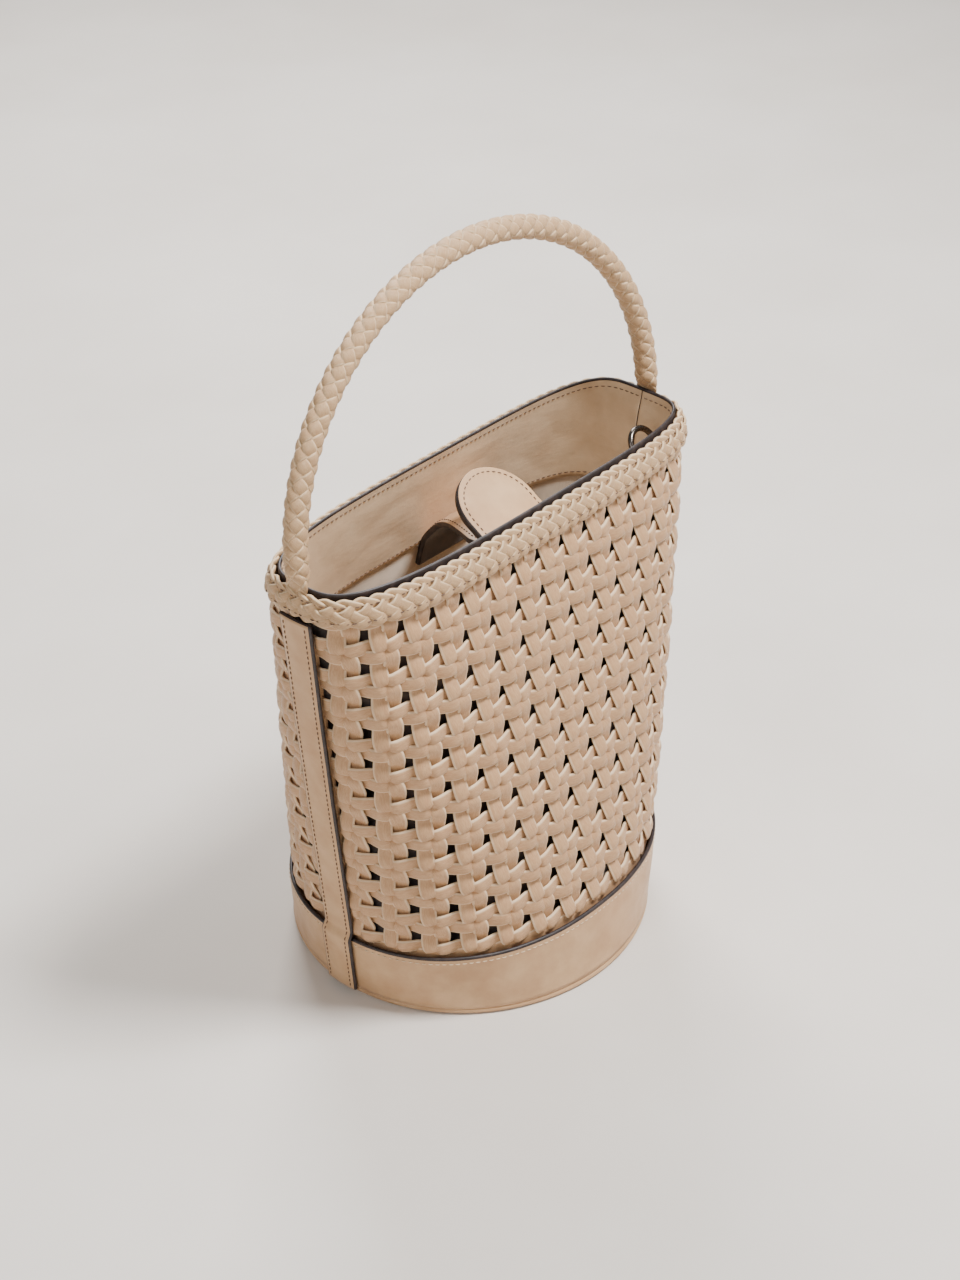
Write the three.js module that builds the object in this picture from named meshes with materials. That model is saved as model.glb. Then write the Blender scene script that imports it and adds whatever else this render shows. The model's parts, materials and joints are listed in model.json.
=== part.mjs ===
// Woven leather bucket bag: oval leather base, two hand-woven side panels, a flat braid round the
// mouth, one round braided top handle, and a tab and strap closure with a magnetic snap.
// Millimetres, +Z up. X runs along the mouth, the front of the bag faces -Y.
// The origin is on the floor, under the middle of the bag's bounding box.
import * as THREE from 'three';
import { mergeVertices } from 'three/addons/utils/BufferGeometryUtils.js';

// ---------------------------------------------------------------- driving dimensions

const GAP = 0.3;
const LAYER_GAP = 0.65; // between wall layers that bend round the ends together

const body = {
  rimHeight: 250,
  baseHalfWidth: 85.6, // outer face of the lining at the floor
  baseHalfDepth: 81.6,
  baseShiftX: 6.6,
  rimHalfWidth: 116.3, // outer face of the facing at the mouth
  rimHalfDepth: 33.3,
  rimShiftY: -14,
  baseSquareness: 2,
  rimSquarenessLeft: 3.3,
  rimSquarenessRight: 4.4,
};

// The woven strips are pressed flatter under the braid that binds the mouth.
const weave = { thickness: 3.0, pressed: 1.9, bottom: 6, top: 249.4, fullTo: 235, pressedFrom: 240.5 };
const rimBraid = { bottom: 236, top: 250, thickness: 3.0, pressedFrom: 241.5 };
const band = { bottom: 3.6, top: 38, thickness: 1.8 };
// Each side strip steps inwards above the base band.
const sideStrip = { width: 17, thickness: 2.0, bottom: 3.6, top: 235.6, stepFrom: 38.5, stepTo: 43 };
const sideBacking = { width: 13.4, thickness: 2.0, bottom: 6, top: 224 };
const facing = { thickness: 1.6, bottom: 197, top: 251.5 };
const lining = { thickness: 1.0, bottom: 4.6 };
const basePanel = { thickness: 2.0, inset: -2.4 };
const stiffener = { thickness: 2.0, inset: 2.4 };
const liningBase = { thickness: 1.0, inset: 3.0 };
const piping = { radius: 1.6, outset: 4.6, height: 1.75 };

const handle = {
  radius: 5.75,
  coreRadius: 2.9,
  boreRadius: 3.3,
  footRadius: 3.7,
  halfSpan: 117.2,
  rise: 107,
  pivotHeight: 257.6,
  leanBack: 5.7,
};
const handleEnd = { width: 13.4, thickness: 1.9, bottom: 224.5, top: 251.3 };

const tab = {
  width: 42,
  anchorX: -3,
  faceThickness: 1.9,
  backingThickness: 1.7,
  anchorTop: 226.5,
  anchorBottom: 209,
};
// Middle line of the tab (x, y, z), from its fold at the front wall to its tip.
const tabLine = [
  [-3, -44.2, 229.0], [-3, -42.5, 232.6], [-3, -39.4, 235.3], [-3, -35.1, 237.7], [-3, -8.1, 254.0],
];

const strap = {
  width: 38,
  faceThickness: 1.4,
  backingThickness: 1.2,
  anchorX: 23,
  anchorTop: 195.4,
  anchorBottom: 185.5,
};
// Middle line of the strap (x, y, z), from its fold at the back wall to its tip under the tab.
const strapLine = [
  [23, 28.3, 199.2], [21.8, 24.9, 204.5], [19.6, 17.4, 212.9], [17.4, 11.2, 218.2],
  [12, 1, 223.9], [6, -11, 227.5], [0.5, -23, 229.9], [-3, -36.5, 231.4],
];

const snap = { radius: 7, thickness: 1.5, alongTab: 0.52, alongStrap: 0.83 };

const ring = { outerWidth: 18, wireRadius: 1.5, cornerRadius: 2, sideHeight: 5, leanBack: 35 };
const ringLoop = {
  width: 10,
  thickness: 1.3,
  centreX: 94.5,
  wireY: -33.8,
  wireZ: 232.4,
  anchorTop: 224,
  anchorBottom: 211,
  tailDepth: 2.2, // from the wall to the seam between the two tails
  tailStagger: 1, // one tail leaves the seam this much higher
  overWrap: 0.35, // radians past half a turn round the wire, at each end of the fold
};

// ---------------------------------------------------------------- materials

const leather = new THREE.MeshStandardMaterial({ color: 0xcfb191, roughness: 0.55, metalness: 0 });
const smoothLeather = new THREE.MeshStandardMaterial({ color: 0xc9a988, roughness: 0.5, metalness: 0 });
const facingLeather = new THREE.MeshStandardMaterial({ color: 0xb49a78, roughness: 0.6, metalness: 0 });
const liningFabric = new THREE.MeshStandardMaterial({ color: 0x8f8474, roughness: 0.9, metalness: 0 });
const boardGrey = new THREE.MeshStandardMaterial({ color: 0x8a8378, roughness: 0.9, metalness: 0 });
const cordWhite = new THREE.MeshStandardMaterial({ color: 0xd9d2c4, roughness: 0.9, metalness: 0 });
const darkNickel = new THREE.MeshStandardMaterial({ color: 0x5b5654, roughness: 0.3, metalness: 1 });

// ---------------------------------------------------------------- the bag's outline

const mix = (from, to, share) => from + (to - from) * share;

// Half-sizes, squareness and centre of the horizontal section at a height, moved out by offset.
function sectionAt(z, offset) {
  const share = z / body.rimHeight;
  return {
    halfWidth: mix(body.baseHalfWidth, body.rimHalfWidth, share) + offset,
    halfDepth: mix(body.baseHalfDepth, body.rimHalfDepth, share) + offset,
    powerLeft: mix(body.baseSquareness, body.rimSquarenessLeft, share),
    powerRight: mix(body.baseSquareness, body.rimSquarenessRight, share),
    centreX: mix(body.baseShiftX, 0, share),
    centreY: mix(0, body.rimShiftY, share),
  };
}

// Half of the section's outline as points from the left end to the right end.
// side is -1 for the front half and 1 for the back half.
function halfOutline(z, offset, side) {
  const cut = sectionAt(z, offset);
  const fine = 400;
  const points = [];
  for (let i = 0; i <= fine; i++) {
    const angle = Math.PI * (1 - i / fine);
    const across = Math.cos(angle);
    const power = across < 0 ? cut.powerLeft : cut.powerRight;
    const x = Math.sign(across) * cut.halfWidth * Math.abs(across) ** (2 / power);
    const y = side * cut.halfDepth * Math.sin(angle) ** (2 / power);
    points.push(new THREE.Vector2(cut.centreX + x, cut.centreY + y));
  }
  return points;
}

const lengthsAlong = (points) => {
  const lengths = [0];
  for (let i = 1; i < points.length; i++) {
    lengths.push(lengths[i - 1] + points[i].distanceTo(points[i - 1]));
  }
  return lengths;
};

// A wall point: distances along the outline are measured from its left end; a distance below zero
// runs the other way round, and one past the half outline's length runs on round the right end.
function wallPoint(side, distance, z, offset) {
  if (distance < 0) return wallPoint(-side, -distance, z, offset);
  const points = halfOutline(z, offset, side);
  const lengths = lengthsAlong(points);
  const total = lengths[lengths.length - 1];
  if (distance > total) return wallPoint(-side, 2 * total - distance, z, offset);
  let i = 1;
  while (i < points.length - 1 && lengths[i] < distance) i++;
  const share = (distance - lengths[i - 1]) / (lengths[i] - lengths[i - 1]);
  const flat = points[i - 1].clone().lerp(points[i], share);
  return new THREE.Vector3(flat.x, flat.y, z);
}

const halfLength = (side, z, offset) => {
  const lengths = lengthsAlong(halfOutline(z, offset, side));
  return lengths[lengths.length - 1];
};

const steps = (from, to, count) =>
  Array.from({ length: count + 1 }, (unused, i) => mix(from, to, i / count));

// ---------------------------------------------------------------- closed solids from two grids

// A solid between an outer and an inner grid of points, rows by columns. wrap joins the last
// column to the first, as a tube or a ring needs.
function slab(outer, inner, wrap = false) {
  const rows = outer.length;
  const columns = outer[0].length;
  const positions = [];
  for (const grid of [outer, inner]) {
    for (const row of grid) {
      for (const point of row) positions.push(point.x, point.y, point.z);
    }
  }
  const innerStart = rows * columns;
  const index = [];
  const quad = (a, b, c, d) => index.push(a, b, c, a, c, d);
  const at = (row, column) => row * columns + (column % columns);
  const lastColumn = wrap ? columns : columns - 1;
  for (let row = 0; row < rows - 1; row++) {
    for (let column = 0; column < lastColumn; column++) {
      const a = at(row, column);
      const b = at(row, column + 1);
      const c = at(row + 1, column + 1);
      const d = at(row + 1, column);
      quad(a, b, c, d);
      quad(innerStart + d, innerStart + c, innerStart + b, innerStart + a);
    }
  }
  for (let column = 0; column < lastColumn; column++) {
    const low = at(0, column);
    const lowNext = at(0, column + 1);
    quad(innerStart + low, innerStart + lowNext, lowNext, low);
    const high = at(rows - 1, column);
    const highNext = at(rows - 1, column + 1);
    quad(high, highNext, innerStart + highNext, innerStart + high);
  }
  if (!wrap) {
    for (let row = 0; row < rows - 1; row++) {
      const start = at(row, 0);
      const startNext = at(row + 1, 0);
      quad(start, startNext, innerStart + startNext, innerStart + start);
      const end = at(row, columns - 1);
      const endNext = at(row + 1, columns - 1);
      quad(innerStart + end, innerStart + endNext, endNext, end);
    }
  }
  if (signedVolume(positions, index) < 0) {
    for (let i = 0; i < index.length; i += 3) [index[i], index[i + 1]] = [index[i + 1], index[i]];
  }
  return indexedGeometry(positions, index);
}

function indexedGeometry(positions, index) {
  const geometry = new THREE.BufferGeometry();
  geometry.setAttribute('position', new THREE.Float32BufferAttribute(positions, 3));
  geometry.setIndex(index);
  return geometry;
}

function signedVolume(positions, index) {
  const corner = (i) => new THREE.Vector3().fromArray(positions, 3 * index[i]);
  let sum = 0;
  for (let i = 0; i < index.length; i += 3) {
    sum += corner(i).dot(corner(i + 1).cross(corner(i + 2)));
  }
  return sum / 6;
}

// ---------------------------------------------------------------- walls

// All the wall's layers bend at the same columns and heights, so that they nest without touching.
const COLUMNS = 32;
const HEIGHTS = steps(0, body.rimHeight, 10);
const COLUMN_CLEARANCE = 0.3; // a common column this close to a piece's side edge is left out
const HEIGHT_CLEARANCE = 2; // and a common height this close to a level of its own

function distancesBetween(from, to, length) {
  const pitch = length / COLUMNS;
  const inside = [];
  for (let k = -2; k <= COLUMNS + 2; k++) {
    const distance = k * pitch;
    if (distance > from + COLUMN_CLEARANCE && distance < to - COLUMN_CLEARANCE) inside.push(distance);
  }
  return [from, ...inside, to];
}

// A wall profile is a list of [z, outer offset, inner offset], from the bottom up.
function withCommonHeights(profile) {
  const filled = [profile[0]];
  for (let i = 1; i < profile.length; i++) {
    const [low, lowOuter, lowInner] = profile[i - 1];
    const [high, highOuter, highInner] = profile[i];
    const between = HEIGHTS.filter((z) => z > low + HEIGHT_CLEARANCE && z < high - HEIGHT_CLEARANCE);
    for (const z of between) {
      const share = (z - low) / (high - low);
      filled.push([z, mix(lowOuter, highOuter, share), mix(lowInner, highInner, share)]);
    }
    filled.push(profile[i]);
  }
  return filled;
}

function wallGrids(profile, rowAt, wrap = false) {
  const levels = withCommonHeights(profile);
  const outer = levels.map(([z, outerOffset]) => rowAt(z, outerOffset));
  const inner = levels.map(([z, outerOffset, innerOffset]) => rowAt(z, innerOffset));
  return slab(outer, inner, wrap);
}

// Half of the wall as a solid sheet.
function wallHalf(side, profile, endGap) {
  return wallGrids(profile, (z, offset) => {
    const length = halfLength(side, z, offset);
    return distancesBetween(endGap, length - endGap, length).map((d) => wallPoint(side, d, z, offset));
  });
}

// The whole way round the wall as one closed ring.
function wallRing(profile) {
  return wallGrids(profile, (z, offset) => {
    const front = halfLength(-1, z, offset);
    const back = halfLength(1, z, offset);
    const frontPoints = steps(0, front, COLUMNS).map((d) => wallPoint(-1, d, z, offset));
    const backPoints = steps(back, 0, COLUMNS).map((d) => wallPoint(1, d, z, offset));
    return [...frontPoints.slice(0, -1), ...backPoints.slice(0, -1)];
  }, true);
}

// An upright strip centred on the left (end = -1) or right (end = 1) end of the bag.
function endStrip(end, profile, width) {
  return wallGrids(profile, (z, offset) => {
    const length = halfLength(-1, z, offset);
    const middle = end < 0 ? 0 : length;
    return distancesBetween(middle - width / 2, middle + width / 2, length)
      .map((d) => wallPoint(-1, d, z, offset));
  });
}

const straight = (bottom, top, outerOffset, innerOffset) => [
  [bottom, outerOffset, innerOffset],
  [top, outerOffset, innerOffset],
];

function wovenPanel(side) {
  const full = LAYER_GAP + weave.thickness;
  const pressed = LAYER_GAP + weave.pressed;
  const profile = [
    ...straight(weave.bottom, weave.fullTo, full, LAYER_GAP),
    ...straight(weave.pressedFrom, weave.top, pressed, LAYER_GAP),
  ];
  return wallHalf(side, profile, sideBacking.width / 2 + GAP);
}

function mouthBraid() {
  const full = 2 * LAYER_GAP + weave.thickness;
  const pressed = 2 * LAYER_GAP + weave.pressed;
  return wallRing([
    [rimBraid.bottom, full + rimBraid.thickness, full],
    [rimBraid.pressedFrom, pressed + rimBraid.thickness, pressed],
    [rimBraid.top, pressed + rimBraid.thickness, pressed],
  ]);
}

function bandHalf(side) {
  const inner = 2 * LAYER_GAP + weave.thickness;
  return wallHalf(side, straight(band.bottom, band.top, inner + band.thickness, inner), GAP);
}

function stripAtEnd(end) {
  const overWeave = 2 * LAYER_GAP + weave.thickness;
  const overBand = overWeave + band.thickness + LAYER_GAP;
  const profile = [
    ...straight(sideStrip.bottom, sideStrip.stepFrom, overBand + sideStrip.thickness, overBand),
    ...straight(sideStrip.stepTo, sideStrip.top, overWeave + sideStrip.thickness, overWeave),
  ];
  return endStrip(end, profile, sideStrip.width);
}

function backingAtEnd(end) {
  const outer = LAYER_GAP + sideBacking.thickness;
  const profile = straight(sideBacking.bottom, sideBacking.top, outer, LAYER_GAP);
  return endStrip(end, profile, sideBacking.width);
}

function handleEndPiece(end) {
  const outer = LAYER_GAP + handleEnd.thickness;
  const profile = straight(handleEnd.bottom, handleEnd.top, outer, LAYER_GAP);
  return endStrip(end, profile, handleEnd.width);
}

function facingHalf(side) {
  return wallHalf(side, straight(facing.bottom, facing.top, 0, -facing.thickness), GAP / 2);
}

function liningHalf(side) {
  return wallHalf(side, straight(lining.bottom, facing.bottom - GAP, 0, -lining.thickness), GAP / 2);
}

// ---------------------------------------------------------------- base

// A flat plate that fills the section at the floor, moved in by inset.
function basePlate(bottom, thickness, inset) {
  const around = 48;
  const cut = sectionAt(0, -inset);
  const outline = new THREE.Shape();
  outline.absellipse(cut.centreX, cut.centreY, cut.halfWidth, cut.halfDepth, 0, 2 * Math.PI, false, 0);
  const plate = new THREE.ExtrudeGeometry(outline, {
    depth: thickness,
    bevelEnabled: false,
    curveSegments: around,
  });
  plate.translate(0, 0, bottom);
  return plate;
}

// A round wire along a closed line of points that lies in the plane square to planeNormal.
function closedWire(line, radius, round, planeNormal) {
  const positions = [];
  const count = line.length;
  line.forEach((point, i) => {
    const before = line[(i + count - 1) % count];
    const after = line[(i + 1) % count];
    const outward = after.clone().sub(before).cross(planeNormal).normalize();
    for (let k = 0; k < round; k++) {
      const turn = (2 * Math.PI * k) / round;
      const corner = point.clone().addScaledVector(outward, radius * Math.cos(turn));
      corner.addScaledVector(planeNormal, radius * Math.sin(turn));
      positions.push(corner.x, corner.y, corner.z);
    }
  });
  const index = [];
  for (let row = 0; row < count; row++) {
    const next = (row + 1) % count;
    for (let k = 0; k < round; k++) {
      const turnNext = (k + 1) % round;
      const a = row * round + k;
      const b = row * round + turnNext;
      const c = next * round + turnNext;
      const d = next * round + k;
      index.push(a, b, c, a, c, d);
    }
  }
  if (signedVolume(positions, index) < 0) index.reverse();
  return indexedGeometry(positions, index);
}

function pipingRing() {
  const around = (side, from, to) => steps(from, to, COLUMNS).slice(0, -1)
    .map((d) => wallPoint(side, d, 0, piping.outset).setZ(piping.height));
  const line = [
    ...around(-1, 0, halfLength(-1, 0, piping.outset)),
    ...around(1, halfLength(1, 0, piping.outset), 0),
  ];
  return closedWire(line, piping.radius, 6, new THREE.Vector3(0, 0, 1));
}

// ---------------------------------------------------------------- handle

const HANDLE_STEPS = 28;

// The handle's centre line: half an ellipse standing on the pivot line, with y = 0 at the pivots.
class HandleArch extends THREE.Curve {
  getPoint(share, target = new THREE.Vector3()) {
    const angle = Math.PI * share;
    return target.set(-handle.halfSpan * Math.cos(angle), 0, handle.rise * Math.sin(angle));
  }
}

const arch = new HandleArch();

// A ring of points round the handle, at a share of its length and a distance below the pivots.
function handleSection(share, below, radius) {
  const round = 12;
  const centre = arch.getPointAt(share);
  const tangent = arch.getTangentAt(share);
  const acrossArch = new THREE.Vector3(-tangent.z, 0, tangent.x);
  return Array.from({ length: round }, (unused, i) => {
    const turn = (2 * Math.PI * i) / round;
    const point = centre.clone().addScaledVector(acrossArch, radius * Math.cos(turn));
    point.y += radius * Math.sin(turn);
    point.z -= below;
    return point;
  });
}

// The braid is a tube round the core. Its feet are rounded about the pivot line, so that they turn
// clear of the mouth.
function handleBraid() {
  const footRings = [handle.footRadius, (handle.footRadius + handle.radius) / 2]
    .map((radius) => ({ radius, below: Math.sqrt(handle.radius ** 2 - radius ** 2) }));
  const rings = [
    ...footRings.map((ring) => ({ share: 0, ...ring })),
    ...steps(0, 1, HANDLE_STEPS).map((share) => ({ share, below: 0, radius: handle.radius })),
    ...footRings.map((ring) => ({ share: 1, ...ring })).reverse(),
  ];
  const outer = rings.map(({ share, below, radius }) => handleSection(share, below, radius));
  const inner = rings.map(({ share, below }) => handleSection(share, below, handle.boreRadius));
  return slab(outer, inner, true);
}

function handleCore() {
  const section = new THREE.Shape();
  section.absarc(0, 0, handle.coreRadius, 0, 2 * Math.PI);
  return new THREE.ExtrudeGeometry(section, {
    steps: HANDLE_STEPS,
    curveSegments: 6,
    extrudePath: arch,
  });
}

// ---------------------------------------------------------------- closure tab and strap

// A smooth curve through points, as evenly spaced points, each with the normal of a surface that
// holds the curve and the X direction.
function middleLine(points, count) {
  const curve = new THREE.CatmullRomCurve3(points.map((point) => new THREE.Vector3(...point)),
    false, 'centripetal');
  return steps(0, 1, count).map((share) => {
    const tangent = curve.getTangentAt(share);
    const normal = new THREE.Vector3(0, -tangent.z, tangent.y).normalize();
    return { share, point: curve.getPointAt(share), normal };
  });
}

const TONGUE_STEPS = 14;
const TIP_SQUARENESS = 2.3;
const TIP_FLAT = 0.12; // share of the width left straight at the very tip

// Half-width of a tongue along its length: straight, then rounded to its tip.
function tongueHalfWidth(share, length, halfWidth) {
  const fromTip = length * (1 - share);
  if (fromTip >= halfWidth) return halfWidth;
  const reach = 1 - fromTip / halfWidth;
  return halfWidth * Math.max(Math.sqrt(1 - reach ** TIP_SQUARENESS), TIP_FLAT);
}

// One layer of a tongue. lower and upper are offsets from its middle line along the normal.
function tongueLayer(points, width, lower, upper) {
  const rows = middleLine(points, TONGUE_STEPS);
  const length = rows.reduce((sum, row, i) => (
    i ? sum + row.point.distanceTo(rows[i - 1].point) : 0), 0);
  const gridFor = (offset) => rows.map(({ share, point, normal }) => {
    const half = tongueHalfWidth(share, length, width / 2);
    return steps(-half, half, 2).map((x) => {
      const corner = point.clone().addScaledVector(normal, offset);
      corner.x += x;
      return corner;
    });
  });
  return slab(gridFor(upper), gridFor(lower));
}

// The sewn root of the tab or the strap, flat on the inside of the wall. side is -1 front, 1 back.
function sewnAnchor(side, tongue, thickness) {
  const columns = steps(-tongue.width / 2, tongue.width / 2, 4).map((x) => tongue.anchorX + x);
  const gridFor = (depth) => steps(tongue.anchorBottom, tongue.anchorTop, 2).map((z) => {
    const cut = sectionAt(z, -facing.thickness - GAP - depth);
    return columns.map((x) => new THREE.Vector3(x, wallY(side, x, cut), z));
  });
  return slab(gridFor(0), gridFor(thickness));
}

// The wall's y at an x of a horizontal section.
function wallY(side, x, cut) {
  const across = Math.abs(x - cut.centreX) / cut.halfWidth;
  const power = x < cut.centreX ? cut.powerLeft : cut.powerRight;
  return cut.centreY + side * cut.halfDepth * (1 - across ** power) ** (1 / power);
}

// A snap disc lying on a face of the tab or the strap.
function snapDisc(points, share, offset) {
  const fine = 100;
  const { point, normal } = middleLine(points, fine)[Math.round(fine * share)];
  const disc = new THREE.CylinderGeometry(snap.radius, snap.radius, snap.thickness, 32);
  const turn = new THREE.Quaternion().setFromUnitVectors(new THREE.Vector3(0, 1, 0), normal);
  disc.applyQuaternion(turn);
  const centre = point.clone().addScaledVector(normal, offset);
  disc.translate(centre.x, centre.y, centre.z);
  return disc;
}

// ---------------------------------------------------------------- D-ring and its loop

// A D-ring: a straight bar through the loop, rounded corners, short sides and a half-round top.
function deeRing() {
  const arc = (centreX, centreUp, radius, from, to, count) => steps(from, to, count)
    .map((angle) => [centreX + radius * Math.cos(angle), centreUp + radius * Math.sin(angle)]);
  const half = ring.outerWidth / 2 - ring.wireRadius;
  const corner = ring.cornerRadius;
  const outline = [
    ...arc(half - corner, corner, corner, -Math.PI / 2, 0, 5),
    ...arc(0, ring.sideHeight, half, 0, Math.PI, 20),
    ...arc(corner - half, corner, corner, Math.PI, 1.5 * Math.PI, 5),
  ];
  const lean = THREE.MathUtils.degToRad(ring.leanBack);
  const line = outline.map(([x, up]) => new THREE.Vector3(
    ringLoop.centreX + x,
    ringLoop.wireY + up * Math.sin(lean),
    ringLoop.wireZ + up * Math.cos(lean)));
  return closedWire(line, ring.wireRadius, 10, new THREE.Vector3(0, -Math.cos(lean), Math.sin(lean)));
}

// A leather strip folded round the ring's wire, with both tails sewn together to the front facing.
function leatherLoop() {
  const fold = ring.wireRadius + GAP + ringLoop.thickness / 2;
  const cornerX = ringLoop.centreX + ringLoop.width / 2;
  const tailY = (z) => wallY(-1, cornerX, sectionAt(z, -facing.thickness - GAP)) + ringLoop.tailDepth;
  const lower = tailY(ringLoop.anchorBottom);
  const upper = tailY(ringLoop.anchorTop);
  const away = new THREE.Vector2(ringLoop.wireY - upper, ringLoop.wireZ - ringLoop.anchorTop).normalize();
  const turnStart = Math.atan2(away.y, away.x) - Math.PI / 2 - ringLoop.overWrap;
  const turnEnd = turnStart + Math.PI + 2 * ringLoop.overWrap;
  const arc = steps(turnStart, turnEnd, 12).map((angle) => new THREE.Vector2(
    ringLoop.wireY + fold * Math.cos(angle), ringLoop.wireZ + fold * Math.sin(angle)));
  const tailGap = ringLoop.thickness / 2 + GAP / 2;
  const line = [
    new THREE.Vector2(lower + tailGap, ringLoop.anchorBottom),
    new THREE.Vector2(upper + tailGap, ringLoop.anchorTop),
    ...arc,
    new THREE.Vector2(upper - tailGap, ringLoop.anchorTop + ringLoop.tailStagger),
    new THREE.Vector2(lower - tailGap, ringLoop.anchorBottom),
  ];
  const rows = line.map((point, i) => {
    const before = line[Math.max(i - 1, 0)];
    const after = line[Math.min(i + 1, line.length - 1)];
    const along = after.clone().sub(before).normalize();
    return { point, normal: new THREE.Vector2(-along.y, along.x) };
  });
  const gridFor = (offset) => rows.map(({ point, normal }) => {
    const centre = point.clone().addScaledVector(normal, offset);
    return steps(-ringLoop.width / 2, ringLoop.width / 2, 1)
      .map((x) => new THREE.Vector3(ringLoop.centreX + x, centre.x, centre.y));
  });
  return slab(gridFor(ringLoop.thickness / 2), gridFor(-ringLoop.thickness / 2));
}

// ---------------------------------------------------------------- assembly

const bag = new THREE.Group();

function closedGeometry(geometry) {
  geometry.deleteAttribute('normal');
  geometry.deleteAttribute('uv');
  const merged = mergeVertices(geometry, 1e-4);
  merged.computeVertexNormals();
  return merged;
}

function add(name, geometry, material, parent = bag) {
  const mesh = new THREE.Mesh(closedGeometry(geometry), material);
  mesh.name = name;
  parent.add(mesh);
  return mesh;
}

const stiffenerBottom = basePanel.thickness + GAP;
const liningBaseBottom = stiffenerBottom + stiffener.thickness + GAP;
add('base_panel', basePlate(0, basePanel.thickness, basePanel.inset), smoothLeather);
add('base_stiffener', basePlate(stiffenerBottom, stiffener.thickness, stiffener.inset), boardGrey);
add('lining_base', basePlate(liningBaseBottom, liningBase.thickness, liningBase.inset), liningFabric);
add('base_piping', pipingRing(), smoothLeather);

for (const [side, name] of [[-1, 'front'], [1, 'back']]) {
  add(`base_band_${name}`, bandHalf(side), smoothLeather);
  add(`woven_panel_${name}`, wovenPanel(side), leather);
  add(`lining_${name}`, liningHalf(side), liningFabric);
  add(`facing_${name}`, facingHalf(side), facingLeather);
}
for (const [end, name] of [[-1, 'left'], [1, 'right']]) {
  add(`side_strip_${name}`, stripAtEnd(end), smoothLeather);
  add(`side_backing_${name}`, backingAtEnd(end), smoothLeather);
  add(`handle_end_${name}`, handleEndPiece(end), leather);
}
add('rim_braid', mouthBraid(), leather);

const handleGroup = new THREE.Group();
handleGroup.position.set(0, body.rimShiftY, handle.pivotHeight);
handleGroup.rotation.x = THREE.MathUtils.degToRad(-handle.leanBack);
bag.add(handleGroup);
add('handle_braid', handleBraid(), leather, handleGroup);
add('handle_core', handleCore(), cordWhite, handleGroup);

const tabHalf = (tab.faceThickness + tab.backingThickness + GAP) / 2;
const tabSplit = tab.backingThickness - tabHalf;
const tabSnapOffset = -tabHalf - GAP - snap.thickness / 2;
add('tab_face', tongueLayer(tabLine, tab.width, tabSplit + GAP, tabHalf), smoothLeather);
add('tab_backing', tongueLayer(tabLine, tab.width, -tabHalf, tabSplit), smoothLeather);
add('tab_snap', snapDisc(tabLine, snap.alongTab, tabSnapOffset), darkNickel);
add('tab_anchor', sewnAnchor(-1, tab, 2 * tabHalf), smoothLeather);

// The strap runs from back to front, so its upper face lies on the negative side of the normal.
const strapHalf = (strap.faceThickness + strap.backingThickness + GAP) / 2;
const strapSplit = strap.faceThickness - strapHalf;
const strapSnapOffset = -strapHalf - GAP - snap.thickness / 2;
add('strap_face', tongueLayer(strapLine, strap.width, -strapHalf, strapSplit), smoothLeather);
add('strap_backing', tongueLayer(strapLine, strap.width, strapSplit + GAP, strapHalf), smoothLeather);
add('strap_snap', snapDisc(strapLine, snap.alongStrap, strapSnapOffset), darkNickel);
add('strap_anchor', sewnAnchor(1, strap, 2 * strapHalf), smoothLeather);

add('ring_loop', leatherLoop(), smoothLeather);
add('d_ring', deeRing(), darkNickel);

export default bag;
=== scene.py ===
import json
import math

import bmesh
import bpy
import numpy as np
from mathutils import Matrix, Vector


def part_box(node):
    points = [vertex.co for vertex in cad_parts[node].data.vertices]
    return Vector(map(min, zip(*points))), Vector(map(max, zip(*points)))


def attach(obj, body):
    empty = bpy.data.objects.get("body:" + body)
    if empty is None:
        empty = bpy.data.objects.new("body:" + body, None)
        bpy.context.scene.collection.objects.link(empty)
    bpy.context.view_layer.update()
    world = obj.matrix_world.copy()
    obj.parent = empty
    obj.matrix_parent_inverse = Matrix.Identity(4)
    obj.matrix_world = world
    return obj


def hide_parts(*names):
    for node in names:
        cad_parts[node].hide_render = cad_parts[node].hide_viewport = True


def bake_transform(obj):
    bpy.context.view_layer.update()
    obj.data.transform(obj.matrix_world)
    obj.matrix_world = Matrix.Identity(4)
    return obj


# A woven leather bucket bag. Lengths are millimetres until a mesh is made, and then metres.
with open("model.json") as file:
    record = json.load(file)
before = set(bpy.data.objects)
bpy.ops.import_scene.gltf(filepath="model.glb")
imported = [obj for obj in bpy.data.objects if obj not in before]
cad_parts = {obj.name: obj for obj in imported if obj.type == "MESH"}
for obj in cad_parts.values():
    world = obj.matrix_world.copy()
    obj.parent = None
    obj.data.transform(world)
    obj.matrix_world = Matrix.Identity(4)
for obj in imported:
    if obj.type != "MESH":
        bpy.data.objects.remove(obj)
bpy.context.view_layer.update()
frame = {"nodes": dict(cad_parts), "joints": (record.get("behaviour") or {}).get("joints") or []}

MM = 0.001
BAG, HANDLE, TAB, STRAP, RING = "bag", "handle", "tab", "strap", "ring"
random = np.random.default_rng(7)


def node_box(name):
    low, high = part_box(name)
    return np.array(low) / MM, np.array(high) / MM


def mix(a, b, share):
    return a + (b - a) * share


def joint_at(name):
    return np.array(next(j["pos_m"] for j in frame["joints"] if j["name"] == name)) / MM


def ease(x, start, end):
    """0 before start, 1 after end, smooth between."""
    t = np.clip((np.asarray(x, float) - start) / (end - start), 0, 1)
    return t * t * (3 - 2 * t)


def sample_line(at, along, points):
    """Points at the distances at, on a line whose points lie at the distances along."""
    return np.stack([np.interp(at, along, points[:, i]) for i in range(3)], -1)


def line_lengths(points):
    """Distance of each point of a line from its start."""
    return np.concatenate([[0], np.cumsum(np.linalg.norm(np.diff(points, axis=0), axis=1))])


def unit(vectors):
    return vectors / np.linalg.norm(vectors, axis=-1, keepdims=True)


# ---------------- camera

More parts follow.
